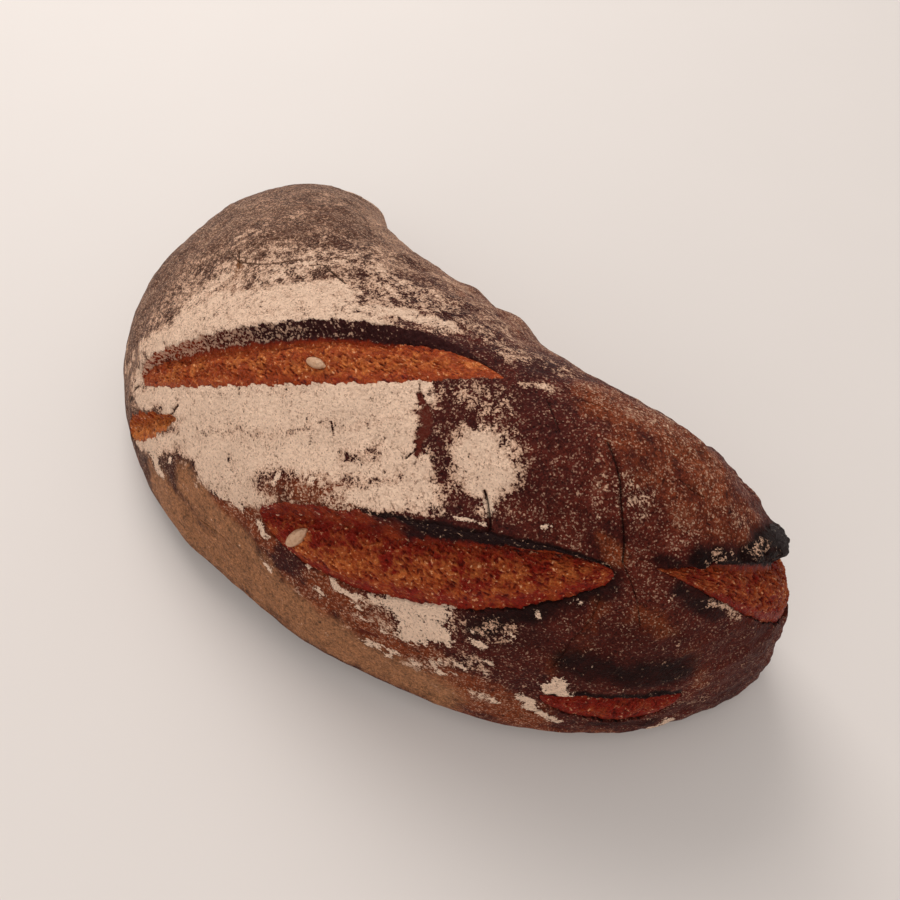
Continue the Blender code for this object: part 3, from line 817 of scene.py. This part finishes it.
def make_slab(name, columns, rows):
    """A flat slab, closed below, and how many points its top and each row have."""
    bpy.ops.mesh.primitive_grid_add(x_subdivisions=columns, y_subdivisions=rows, size=2)
    ob = bpy.context.object
    ob.name = name
    grid = get_points(ob)
    start_edit()
    bpy.ops.mesh.region_to_loop()
    bpy.ops.mesh.extrude_edges_move()
    bpy.ops.mesh.edge_face_add()
    end_edit()
    return ob, len(grid), len(np.unique(np.round(grid[:, 0], 6)))


def make_crumb(name, slash):
    """Torn crumb that fills a slash: the burnt wall under the ear and the floor."""
    spine = np.linspace(-1, 1, MEASURED_ALONG)
    girth = np.linspace(0, 1, MEASURED_ACROSS)
    length = line_length(crust(slash.across(spine, np.full(MEASURED_ALONG, 0.5))))
    width = line_length(crust(slash.across(np.zeros(MEASURED_ACROSS), girth)))
    ob, count, wide = make_slab("crumb_" + name, int(length / CRUMB_CELL),
                                int(width * ROWS_CLOSER / CRUMB_CELL))
    slab = get_points(ob)
    edge = CRUMB_EDGE / width
    along = np.clip(slab[:, 0], -1, 1) * BEFORE_TIPS
    share = -edge + (1 + 2 * edge) * (0.5 - 0.5 * np.clip(slab[:, 1], -1, 1))
    ways = slash.across(along, share)
    out = outward(ways)
    past = -share / edge
    sink = np.where(share < 0, past * UNDER_RIM - (1 - past) * OVER_RIM,
                    slash.sink(along, np.clip(share, 0, 1)))
    base = crust(ways) - out * sink[:, None]

    top = base[:count].reshape(-1, wide, 3)
    normal = unit(np.cross(np.gradient(top, axis=1), np.gradient(top, axis=0))).reshape(-1, 3)
    normal *= np.sign((normal * out[:count]).sum(1).mean())
    u, v = along[:count] * length / 2, share[:count] * width * PORE_SQUEEZE
    flat = np.stack([u, v, np.zeros(count)], 1)
    relief = lumps(flat, FIBRES)
    for size, high in PORES:
        relief -= high * np.minimum(pores(flat, size), PORE_FLOOR)
    depth = np.zeros(len(slab))
    depth[:count] = (relief - relief.mean()) / relief.std()
    relief += lumps(flat, SWELLS) - relief.mean()
    wall = 1 - smooth(*WALL_ENDS, share[:count] / slash.wall)
    relief = relief * (1 - wall) + lumps(base[:count], BRISTLES) * wall
    relief *= np.minimum(slash.fade(along[:count]) * CALM_TIPS, 1)
    relief *= smooth(*CALM_FAR, share[:count]) * (1 - smooth(*CALM_NEAR, share[:count]))
    base[:count] += normal * relief[:, None]
    base[count:] -= out[count:] * CRUMB_THICKNESS
    set_points(ob, base)
    paint_points(ob, "depth", depth)
    paint_points(ob, "share", share)
    paint_points(ob, "along", along)
    paint_points(ob, "wall", share / slash.wall)
    face_outwards()
    bpy.ops.object.shade_smooth()
    return ob


KERNEL_RIDGE = 0.10      # how much higher a kernel's ridge is
KERNEL_RIDGE_WIDTH = 0.12
KERNEL_DENT = 0.015
KERNEL_DENTS = (6, 9, 9)


def make_seed(name, slash, scale, blunt, pointed):
    """A shelled kernel, one end pointed, partly sunk in the crumb."""
    ends = np.array([blunt, pointed, np.mean([blunt, pointed], axis=0)])
    ways = slash.across(ends[:, 0], ends[:, 1])
    outs = outward(ways)
    floor = crust(ways) - outs * slash.sink(ends[:, 0], ends[:, 1])[:, None]
    place, out = floor[2], outs[2]
    long_way = unit(floor[1] - floor[0])
    out = unit(out - long_way * (out @ long_way))
    short_way = np.cross(out, long_way)
    length, width, thickness = (size * scale for size in KERNEL)
    middle = place + out * thickness * (0.5 - KERNEL_SUNK)
    bpy.ops.mesh.primitive_uv_sphere_add(segments=48, ring_count=32, radius=0.5)
    ob = bpy.context.object
    ob.name = "seed_" + name
    ball = get_points(ob)
    x, y, z = ball[:, 2], ball[:, 0], ball[:, 1]
    taper = 1 - KERNEL_TAPER * np.maximum(0, x * 2) ** 2
    ridge = 1 + KERNEL_RIDGE * np.exp(-(y / KERNEL_RIDGE_WIDTH) ** 2)
    dented = 1 + KERNEL_DENT * lumps(ball * KERNEL_DENTS, ((1, 1),))
    points = (middle + np.outer(x * dented, long_way) * length
              + np.outer(y * taper * dented, short_way) * width
              + np.outer(z * ridge * dented, out) * thickness)
    set_points(ob, points)
    paint_points(ob, "tip", x)
    paint_points(ob, "side", y)
    face_outwards()
    bpy.ops.object.shade_smooth()
    return ob


TIP_LUMPS = ((4.5 * MM, 1.5 * MM), (1.8 * MM, 0.8 * MM), (0.8 * MM, 0.35 * MM))
TIP_WIDTH = 0.95         # of the horn's root in the solid
TIP_HEIGHT = 0.8         # of its own width


def make_burnt_tip(slash, at, share, length, root, before, rise, lift):
    """The lumpy burnt lip of the ear that sticks out over the near end."""
    bpy.ops.mesh.primitive_ico_sphere_add(subdivisions=6, radius=1)
    ob = bpy.context.object
    ob.name = "burnt_tip"
    ball = get_points(ob)
    ways = slash.across(np.array([at, at + HORN_STEP]), np.full(2, share))
    skin = crust(ways)
    out = outward(ways)[0]
    ahead = unit(skin[1] - skin[0])
    level = unit(ahead * np.cos(rise) + out * np.sin(rise))
    aside = unit(np.cross(out, level))
    upright = np.cross(level, aside)
    step = ball[:, 0] * 0.5 + 0.5
    size = root * TIP_WIDTH
    points = (skin[0] - out * root + np.outer(step - before, level) * length
              + np.outer(step, out) * root * lift
              + np.outer(ball[:, 1], aside) * size
              + np.outer(ball[:, 2], upright) * size * TIP_HEIGHT)
    points += ball @ np.array([level, aside, upright]) * lumps(points, TIP_LUMPS)[:, None]
    set_points(ob, points)
    bpy.ops.object.shade_smooth()
    face_outwards()
    return ob


# Finishes
class Wire:
    """One output of a node. Python's own arithmetic on it adds Math nodes."""

    def __init__(self, finish, socket):
        self.finish, self.socket = finish, socket

    def math(self, operation, *others, **settings):
        return self.finish.node('ShaderNodeMath', dict(operation=operation, **settings),
                                dict(enumerate((self,) + others)))

    def __add__(self, other):
        return self.math('ADD', other)

    def __sub__(self, other):
        return self.math('SUBTRACT', other)

    def __rsub__(self, other):
        return self.finish.node('ShaderNodeMath', dict(operation='SUBTRACT'), {0: other, 1: self})

    def __mul__(self, other):
        return self.math('MULTIPLY', other)

    __radd__ = __add__
    __rmul__ = __mul__

    def most(self, other):
        return self.math('MAXIMUM', other)

    def least(self, other):
        return self.math('MINIMUM', other)

    def clipped(self):
        return self.math('ADD', 0.0, use_clamp=True)

    def step(self, low, high):
        """0 below low, 1 above high, and a smooth way between them."""
        return self.finish.node('ShaderNodeMapRange', dict(interpolation_type='SMOOTHSTEP'),
                                {'Value': self, 'From Min': low, 'From Max': high})


class Finish:
    """A material, its shader, and short ways to add nodes to it."""

    def __init__(self, name, specular):
        self.material = bpy.data.materials.new(name)
        self.material.use_nodes = True
        self.tree = self.material.node_tree
        self.shader = self.tree.nodes["Principled BSDF"]
        self.set("Specular IOR Level", specular)
        self.place = self.node('ShaderNodeTexCoord', {}, {}, 'Object')

    def node(self, kind, settings, inputs, output=0):
        """Adds a node: its settings first, then its sockets' values or links."""
        node = self.tree.nodes.new(kind)
        for name, value in settings.items():
            setattr(node, name, value)
        for name, value in inputs.items():
            self.feed(node.inputs[name], value)
        return Wire(self, node.outputs[output])

    def feed(self, socket, value):
        if isinstance(value, Wire):
            self.tree.links.new(value.socket, socket)
        else:
            socket.default_value = value

    def set(self, name, value):
        self.feed(self.shader.inputs[name], value)

    def number(self, name):
        """A number kept at each point of the piece."""
        return self.node('ShaderNodeAttribute', dict(attribute_name=name), {}, 'Fac')

    def grain(self, size, detail, rough=0.5, shift=0.0):
        """Noise about 0 of a size in metres, mostly between -1 and 1."""
        place = self.place
        if shift:
            place = self.node('ShaderNodeVectorMath', dict(operation='ADD'), {0: place, 1: (shift,) * 3})
        value = self.node('ShaderNodeTexNoise', {}, {'Vector': place, 'Scale': 1 / size,
                                                    'Detail': detail, 'Roughness': rough})
        return (value - 0.5) * 4

    def salt(self, size):
        """Grains of a size in metres, each its own even chance between -1 and 1."""
        colour = self.node('ShaderNodeTexVoronoi', {}, {'Vector': self.place, 'Scale': 1 / size},
                           'Color')
        return self.node('ShaderNodeSeparateColor', {}, {'Color': colour}) * 2 - 1

    def mix(self, share, first, second):
        """A colour between two others; sockets 6 and 7 are the colours."""
        return self.node('ShaderNodeMix', dict(data_type='RGBA'), {0: share, 6: first, 7: second}, 2)

    def shaded(self, colour, by):
        """A colour made lighter or darker by a factor."""
        return self.node('ShaderNodeVectorMath', dict(operation='SCALE'), {0: colour, 'Scale': by})

    def bump(self, height, distance):
        self.set("Normal", self.node('ShaderNodeBump', {}, {'Height': height, 'Distance': distance}))


def srgb(red, green, blue):
    """A linear colour from the usual 0-255 values."""
    shares = [value / 255 for value in (red, green, blue)]
    return (*(s / 12.92 if s <= 0.04045 else ((s + 0.055) / 1.055) ** 2.4 for s in shares), 1.0)


FLOUR_WHITE = srgb(250, 213, 185)
FLOUR_THIN = srgb(208, 162, 134)
FLOUR_PEEK = srgb(134, 88, 66)
CRUST_DARK = srgb(68, 22, 18)
CRUST_RED = srgb(100, 36, 23)
CRUST_MAUVE = srgb(100, 60, 42)
CRUST_WARM = srgb(134, 60, 28)
CRUST_WINE = srgb(84, 22, 20)
CRUST_PALE = srgb(166, 112, 76)
CRUST_BURNT = srgb(28, 7, 5)
SPECK = srgb(220, 178, 148)
CRACK_DARK = srgb(24, 8, 5)
SCAR_RED = srgb(98, 36, 24)


def crust_finish():
    """Red-brown crust, dusted at the far end, with painted light mixed into the dust there and on the
    back side, under patches of flour.
    """
    f = Finish("crust", specular=0.08)
    broad = f.grain(26 * MM, 2)
    patch = f.grain(7 * MM, 3)
    clump = f.grain(2.4 * MM, 3, 0.6)
    grit = f.grain(1.0 * MM, 3, 0.7)
    salt = f.salt(0.40 * MM)
    station, back, level = f.number("station"), f.number("back"), f.number("flour")
    beside, char, scar = f.number("beside"), f.number("burnt"), f.number("scar")

    red = (station * 0.5 + broad * 0.3 + patch * 0.2 + 0.25).step(0.1, 0.9)
    far = (0.0 - station + patch * 0.06 + broad * 0.10).step(-0.05, 0.45)
    wine = (char * 0.6 + patch * 0.3 + broad * 0.25).step(0.15, 0.8) * (1 - far)
    behind = (back + patch * 0.10).step(0.20, 0.75)
    warm = (f.number("warm") + patch * 0.20 + clump * 0.16).step(0.20, 0.90)
    pale = (f.number("pale") + patch * 0.20 + clump * 0.14).step(0.2, 0.9)
    burnt = (char + beside * 0.9 + patch * 0.20 + clump * 0.18 + grit * 0.14).step(0.20, 1.10)
    mottled = (grit * 0.50 + salt * 0.34 + clump * 0.28 + patch * 0.14 + 1.0).most(0.25)
    colour = f.mix(red, CRUST_DARK, CRUST_RED)
    colour = f.mix(far, colour, CRUST_MAUVE)
    colour = f.mix(wine * 0.7, colour, CRUST_WINE)
    colour = f.mix(behind * 0.6, colour, CRUST_WARM)
    colour = f.mix(warm, colour, CRUST_WARM)
    colour = f.mix(pale, colour, CRUST_PALE)
    colour = f.mix(burnt, colour, CRUST_BURNT)
    colour = f.shaded(colour, mottled)

    # Specks of flour all over, and a haze where they lie thick. On the back side and the far end the
    # specks and haze are partly real dust and partly painted light, lighter where the light falls there.
    dusty = (far * 0.34 + behind * 0.54 + warm * 0.12 + broad * 0.12 + patch * 0.22 + clump * 0.16
             + level.least(0.6).most(0.0) * 0.30 - burnt * 0.42 - pale * 0.70 + 0.12)
    speck = (salt + grit * 0.36 + dusty).step(0.62, 1.50)
    dust_haze_and_painted_light = (dusty + clump * 0.15).step(0.25, 1.1)
    colour = f.mix(speck * 0.76, colour, SPECK)
    colour = f.mix(dust_haze_and_painted_light * 0.30, colour, SPECK)

    # Patches of flour, thin at their edges, with the crust peeking through
    crack = f.number("crack")
    backside = (back - 0.2).step(0.0, 0.4) * (broad * 0.35 + 0.25).clipped()
    level = (level - scar * 1.5 - crack * 1.2 - beside * 0.7).most(backside * 0.7)
    uneven = patch * 0.22 + clump * 0.36 + grit * 0.26 + salt * 0.26 + f.salt(1.5 * MM) * 0.22
    flake = (f.number("flake") + clump * 0.34 + grit * 0.42 + salt * 0.12).step(0.46, 0.62)
    flour = (level + uneven).step(0.48, 0.72).most(flake)
    thick = (level + uneven * 0.7).step(0.55, 1.25).most(flake)
    peek = (grit * 0.80 + clump * 0.40 - salt * 0.60 - thick * 0.12).step(0.20, 0.90)
    powdery = grit * 0.09 + salt * 0.07 + clump * 0.07 + patch * 0.05 + 1.0
    flour_colour = f.mix(thick, FLOUR_THIN, FLOUR_WHITE)
    flour_colour = f.mix(peek * 0.62, flour_colour, FLOUR_PEEK)
    flour_colour = f.shaded(flour_colour, powdery)
    colour = f.mix(flour, colour, flour_colour)

    colour = f.mix(scar.step(0.3, 0.8) * 0.9, colour, SCAR_RED)
    # Cracks painted dark: partly the crust under the flour, partly painted shade in them
    crack = (crack + grit * 0.12 + clump * 0.10).step(0.15, 0.9)
    f.set("Base Color", f.mix(crack * 0.85, colour, CRACK_DARK))
    f.set("Roughness", flour * 0.33 + 0.52 + grit * 0.06)
    f.bump(clump * 0.28 + grit * 0.36 + salt * 0.05 + flour * 0.25 + speck * 0.10, 1.3 * MM)
    return f.material


CRUMB_LIGHT = srgb(206, 120, 58)
CRUMB_ORANGE = srgb(158, 62, 24)
CRUMB_RED = srgb(128, 26, 10)
CRUMB_DARK = srgb(66, 12, 6)
CRUMB_GLINT = srgb(250, 196, 150)
CHAR = srgb(30, 7, 8)
CHAR_MAUVE = srgb(60, 26, 25)
CHAR_SPECK = srgb(236, 194, 164)


def crumb_finish(name, burnt_from, burnt_full, red_floor, light_at, dusty, dark_wall, char=CHAR):
    """Bare crumb: orange, redder and darker towards the burnt wall."""
    f = Finish("crumb_" + name, specular=0.14)
    patch = f.grain(7 * MM, 2)
    clump = f.grain(2.6 * MM, 3, 0.6)
    grit = f.grain(1.1 * MM, 3, 0.7)
    salt = f.salt(0.50 * MM)
    share, along = f.number("share"), f.number("along")
    wall, depth = f.number("wall"), f.number("depth")

    # The depth terms are painted light and shade on the torn relief: pores painted darker and redder,
    # ridges painted lighter, and glints more likely on ridges
    light = (patch * 0.30 + clump * 0.34 + grit * 0.16 + light_at + depth * 0.10
             - (share - 0.6).math('ABSOLUTE') * 0.8)
    red = patch * 0.50 + clump * 0.40 + red_floor + share.step(0.75, 1.0) * 0.25 - depth * 0.08
    scorch = (along + patch * 0.10).step(burnt_from, burnt_full)
    reddened = (2.1 - wall + clump * 0.25 + patch * 0.1).step(0.2, 1.1) * (scorch * 0.6 + 0.4)
    # Darker random mottle, with painted shade in the pores
    low = (grit * 0.60 - salt * 0.20 - depth * 0.30 + clump * 0.15 - 0.05).step(0.0, 1.0)
    darkened = (1.55 - wall + clump * 0.22 + patch * 0.1).step(0.1, 0.7) * (scorch * 0.75 + 0.25)
    burnt = (1.25 - wall + clump * 0.24 + grit * 0.16).step(0.0, 0.40) * scorch
    mottled = (grit * 0.30 + salt * 0.16 + clump * 0.22 + 1.04).most(0.3)
    colour = f.mix(light.step(0.0, 0.9), CRUMB_ORANGE, CRUMB_LIGHT)
    colour = f.mix(red.step(0.2, 0.9), colour, CRUMB_RED)
    colour = f.mix(reddened * dark_wall, colour, CRUMB_RED)
    colour = f.mix(low * 0.80, colour, CRUMB_DARK)
    colour = f.mix(darkened * 0.7 * dark_wall, colour, CRUMB_DARK)
    colour = f.mix(burnt, colour, char)
    colour = f.shaded(colour, mottled)

    # Flour on the wall, in fine and coarse grains, and glints on the floor
    in_wall = (1.2 - wall + clump * 0.1).step(0.0, 0.3)
    dust = ((0.6 - along) * dusty + clump * 0.2 - 0.25).least(0.50)
    coarse = (f.salt(1.0 * MM) + grit * 0.5 + dust).step(0.80, 0.95)
    speck = (salt + grit * 0.30 + dust).step(0.70, 0.94).most(coarse) * in_wall
    glint = (salt * 0.55 + grit * 0.80 + depth * 0.15).step(0.62, 1.05) * (1 - in_wall * 0.7)
    colour = f.mix(speck * (grit * 0.3 + 0.62).clipped(), colour, CHAR_SPECK)
    f.set("Base Color", f.mix(glint * 0.60, colour, CRUMB_GLINT))
    f.set("Roughness", 0.40 + burnt * 0.25 + grit * 0.08)
    f.bump(clump * 0.20 + grit * 0.40 + salt * 0.06, 1.0 * MM)
    return f.material


TIP_BROWN = srgb(40, 24, 22)
TIP_BLACK = srgb(20, 11, 11)
TIP_ASH = srgb(150, 132, 118)


def char_finish():
    """Burnt crust, almost black, with a little ash."""
    f = Finish("burnt_tip", specular=0.3)
    f.set("Roughness", 0.6)
    clump = f.grain(2.4 * MM, 3, 0.6)
    grit = f.grain(1.2 * MM, 2, 0.6)
    dot = f.grain(0.75 * MM, 1, shift=2.0)
    colour = f.mix((clump * 0.3 + 0.4).clipped(), TIP_BROWN, TIP_BLACK)
    ash = (dot + grit * 0.6 + clump * 0.5).step(0.80, 1.4)
    f.set("Base Color", f.mix(ash * 0.5, colour, TIP_ASH))
    f.bump(clump * 0.3 + grit * 0.3, 0.8 * MM)
    return f.material


SEED_BEIGE = srgb(178, 132, 98)
SEED_PALE = srgb(206, 168, 136)
SEED_EDGE = srgb(120, 66, 40)


def seed_finish():
    """A toasted beige kernel, browner round its edge."""
    f = Finish("seed", specular=0.4)
    f.set("Roughness", 0.42)
    tip, side = f.number("tip"), f.number("side")
    streak = f.grain(1.2 * MM, 2)
    colour = f.mix((streak * 0.4 + 0.4).clipped(), SEED_BEIGE, SEED_PALE)
    edge = (side.math('ABSOLUTE') + tip.math('ABSOLUTE') * 0.3 + streak * 0.05).step(0.30, 0.62)
    f.set("Base Color", f.mix(edge * 0.6, colour, SEED_EDGE))
    f.bump(streak, 0.25 * MM)
    return f.material


# The pieces
# How each crumb is burnt: where along the slash the burnt wall begins and is
# full, how red its floor is, how light its middle, how dusty and dark the wall
CRUMB_LOOKS = {
    "long": dict(burnt_from=-0.65, burnt_full=0.05, red_floor=0.05, light_at=0.34, dusty=0.9,
                 dark_wall=0.8, char=CHAR_MAUVE),
    "middle": dict(burnt_from=-0.30, burnt_full=0.05, red_floor=0.56, light_at=0.50, dusty=0.0,
                   dark_wall=0.8),
    "end": dict(burnt_from=-0.9, burnt_full=-0.4, red_floor=0.62, light_at=0.40, dusty=0.0,
                dark_wall=0.7),
    "low": dict(burnt_from=-1.2, burnt_full=-0.9, red_floor=0.80, light_at=0.20, dusty=0.0,
                dark_wall=0.8),
    "tear": dict(burnt_from=2.0, burnt_full=3.0, red_floor=0.10, light_at=0.80, dusty=0.0,
                 dark_wall=0.15),
}


def dress(piece, material):
    piece.data.materials.clear()
    piece.data.materials.append(material)
    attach(piece, "root")


bpy.ops.object.select_all(action='DESELECT')
crust_piece = make_crust()
dress(crust_piece, crust_finish())
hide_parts("loaf")
for name, slash in SLASH.items():
    dress(make_crumb(name, slash), crumb_finish(name, **CRUMB_LOOKS[name]))
dress(make_burnt_tip(SLASH[HORN_SLASH], **HORN), char_finish())
seed_look = seed_finish()
for name, *place in KERNELS:
    dress(make_seed(name, SLASH[name], *place), seed_look)


# Floor, light and camera
FLOOR_GREY = srgb(212, 204, 199)
FLOOR_PALE = srgb(217, 209, 204)
SKY = (1.0, 0.98, 0.96, 1.0)
SKY_STRENGTH = 0.62
LIGHT_AIM = Vector((0, 0, 0.04))
SENSOR = 36              # in millimetres, as the lens
LENS = 38
CAMERA_PLACE = (0.14407, -0.11383, 0.27599)
CAMERA_RIGHT = (0.61650, 0.78341, 0.07877)
CAMERA_UP = (-0.66167, 0.46127, 0.59112)
CAMERA_BACK = (0.42675, -0.41655, 0.80273)


def make_floor():
    bpy.ops.mesh.primitive_plane_add(size=8, location=(0, 0, 0))
    floor = bpy.context.object
    floor.name = "floor"
    f = Finish("floor", specular=0.2)
    f.set("Roughness", 0.6)
    f.set("Base Color", f.mix((f.grain(60 * MM, 2) * 0.1 + 0.5).clipped(), FLOOR_GREY, FLOOR_PALE))
    floor.data.materials.append(f.material)


def area_light(name, place, size, power, colour):
    """A square soft light that faces the loaf."""
    data = bpy.data.lights.new(name, 'AREA')
    data.size, data.energy, data.color = size, power, colour
    light = bpy.data.objects.new(name, data)
    bpy.context.scene.collection.objects.link(light)
    light.location = place
    light.rotation_euler = (LIGHT_AIM - Vector(place)).to_track_quat('-Z', 'Y').to_euler()


def make_world():
    world = bpy.data.worlds.new("soft_room")
    bpy.context.scene.world = world
    world.use_nodes = True
    sky = world.node_tree.nodes["Background"]
    sky.inputs["Color"].default_value = SKY
    sky.inputs["Strength"].default_value = SKY_STRENGTH


def make_camera():
    data = bpy.data.cameras.new("camera")
    data.sensor_width, data.lens, data.clip_start = SENSOR, LENS, 10 * MM
    camera = bpy.data.objects.new("camera", data)
    bpy.context.scene.collection.objects.link(camera)
    turn = Matrix((CAMERA_RIGHT, CAMERA_UP, CAMERA_BACK)).transposed()
    camera.matrix_world = Matrix.Translation(CAMERA_PLACE) @ turn.to_4x4()
    bpy.context.scene.camera = camera


make_floor()
make_world()
area_light("window", place=(-0.95, 0.30, 1.05), size=0.8, power=13.0, colour=(1.0, 0.98, 0.95))
area_light("fill", place=(0.5, -0.9, 0.9), size=1.2, power=4.5, colour=(1.0, 0.97, 0.95))
make_camera()
bpy.context.scene.view_settings.view_transform = 'Standard'
